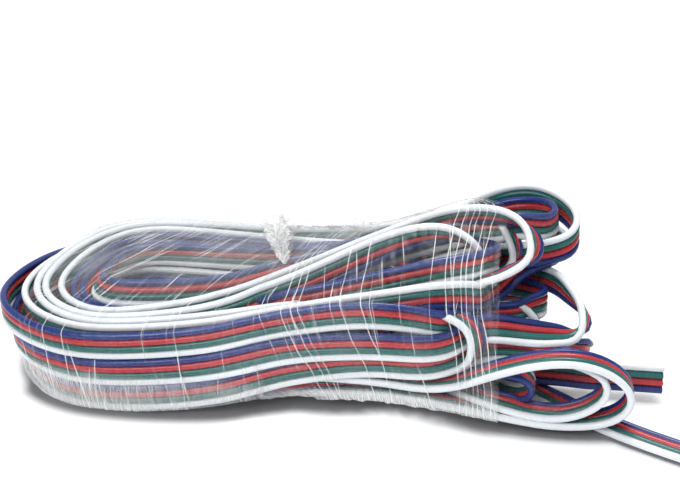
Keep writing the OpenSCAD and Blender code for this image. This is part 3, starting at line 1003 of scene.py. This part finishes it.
class HANK_OT_gather(bpy.types.Operator):
    """Gathers film into the rope across the top and the crumpled edge behind"""
    bl_idname = "hank.gather"
    bl_label = "Gathered film"

    def execute(self, context):
        ropes = ((film_rope(GATHER, width=1.5, height=0.8, seed=5, twist=0.12), 0.9),
                 (film_rope(FRINGE, width=1.3, height=0.9, seed=6, twist=0.3), 0.4))
        gather = new_object("film_gather", rope_mesh("film_gather", ropes))
        gather.data.materials.append(film_finish("gathered_film", context.scene.hank_film))
        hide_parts("film_tie")
        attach(gather, "root")
        return {"FINISHED"}


class HANK_OT_stage(bpy.types.Operator):
    """Lays the floor and sets the lamps"""
    bl_idname = "hank.stage"
    bl_label = "Studio"

    def execute(self, context):
        studio = context.scene.hank_studio
        mesh = bpy.data.meshes.new("floor")
        mesh.from_pydata([(-3, -3, 0), (3, -3, 0), (3, 3, 0), (-3, 3, 0)], [], [(0, 1, 2, 3)])
        floor = new_object("floor", mesh)
        floor.location.z = -0.02 * MM
        mesh.materials.append(floor_finish())
        world = bpy.data.worlds.new("surround")
        context.scene.world = world
        world.use_nodes = True
        tree = world.node_tree
        tree.nodes.clear()
        path = add_node(tree, "ShaderNodeLightPath").outputs
        seen = add_node(tree, "ShaderNodeMath", {"operation": "MAXIMUM"},
                        _0=path["Is Camera Ray"], _1=path["Is Transmission Ray"])
        lit = add_node(tree, "ShaderNodeBackground", Color=(0.96, 0.98, 1, 1),
                       Strength=studio.ambient)
        shown = add_node(tree, "ShaderNodeBackground", Color=(1, 1, 1, 1))
        mixed = add_node(tree, "ShaderNodeMixShader", _0=seen.outputs[0], _1=lit.outputs[0],
                         _2=shown.outputs[0])
        add_node(tree, "ShaderNodeOutputWorld", Surface=mixed.outputs[0])
        # Each lamp's place, width and power in watts
        for name, place, size, power in (("key", (0.02, 0.24, 0.87), 0.36, 5.8),
                                         ("fill", (-0.3, -0.66, 0.64), 0.5, 4.5),
                                         ("side", (0.75, -0.5, 0.5), 0.5, 1)):
            lamp = bpy.data.objects.new(name, bpy.data.lights.new(name, "AREA"))
            lamp.data.shape, lamp.data.size = "DISK", size
            lamp.data.energy = power * studio.key
            lamp.location = place
            lamp.rotation_euler = (-Vector(place)).to_track_quat("-Z", "Y").to_euler()
            context.scene.collection.objects.link(lamp)
        context.scene.view_settings.view_transform = "Standard"
        return {"FINISHED"}


def floor_finish():
    """White to the camera where it lies open, with a painted shadow of dark grey close to the
    hank where ambient occlusion finds the floor covered; a pale grey to everything else."""
    f = Finish("floor")
    camera = f.node("ShaderNodeLightPath")("Is Camera Ray")
    place = f.node("ShaderNodeTexCoord")("Object")
    tone = f.mix(f.noise(place, 30).spread(0.3, 0.7), (0.88, 0.88, 0.89, 1), (0.9, 0.9, 0.91, 1))
    plain = f.node("ShaderNodeBsdfDiffuse", Color=tone)()
    # Painted shadow: a dark grey floor shown to the camera close to the hank, on top of the
    # lamps' own shadows
    painted_shadow = f.node("ShaderNodeBsdfDiffuse", Color=(0.22, 0.22, 0.23, 1))()
    glow = f.node("ShaderNodeEmission", Color=(1, 1, 1, 1), Strength=0.9)()
    bright = f.node("ShaderNodeAddShader", _0=painted_shadow, _1=glow)()
    # Ambient occlusion sets where the painted shadow shows: it takes over from the bright floor
    # within a few millimetres of the hank
    open_air = f.node("ShaderNodeAmbientOcclusion", {"samples": 12}, Distance=4.5 * MM)("AO")
    seen = f.node("ShaderNodeMixShader", _0=open_air.spread(0.6, 0.92), _1=painted_shadow,
                  _2=bright)()
    return f.out(f.node("ShaderNodeMixShader", _0=camera, _1=plain, _2=seen)())


STEPS = (HANK_OT_camera, HANK_OT_wires, HANK_OT_strands, HANK_OT_film, HANK_OT_gather,
         HANK_OT_stage)


class HANK_PT_panel(bpy.types.Panel):
    """Lists the steps and their settings"""
    bl_idname = "HANK_PT_panel"
    bl_label = "Ribbon cable hank"
    bl_space_type = "VIEW_3D"
    bl_region_type = "UI"
    bl_category = "Hank"

    def draw(self, context):
        for step in STEPS:
            self.layout.operator(step.bl_idname)
        for group in (context.scene.hank_cable, context.scene.hank_film,
                      context.scene.hank_studio):
            for key in group.bl_rna.properties.keys():
                if key not in ("rna_type", "name"):
                    self.layout.prop(group, key)


SETTINGS = {"hank_cable": CableSettings, "hank_film": FilmSettings,
            "hank_studio": StudioSettings}


def register():
    for group in (*SETTINGS.values(), *STEPS, HANK_PT_panel):
        bpy.utils.register_class(group)
    for name, group in SETTINGS.items():
        setattr(bpy.types.Scene, name, PointerProperty(type=group))


def unregister():
    for name in SETTINGS:
        delattr(bpy.types.Scene, name)
    for group in reversed((*SETTINGS.values(), *STEPS, HANK_PT_panel)):
        bpy.utils.unregister_class(group)


def main():
    register()
    for step in STEPS:
        getattr(bpy.ops.hank, step.bl_idname.split(".")[1])()


if __name__ == "__main__":
    main()
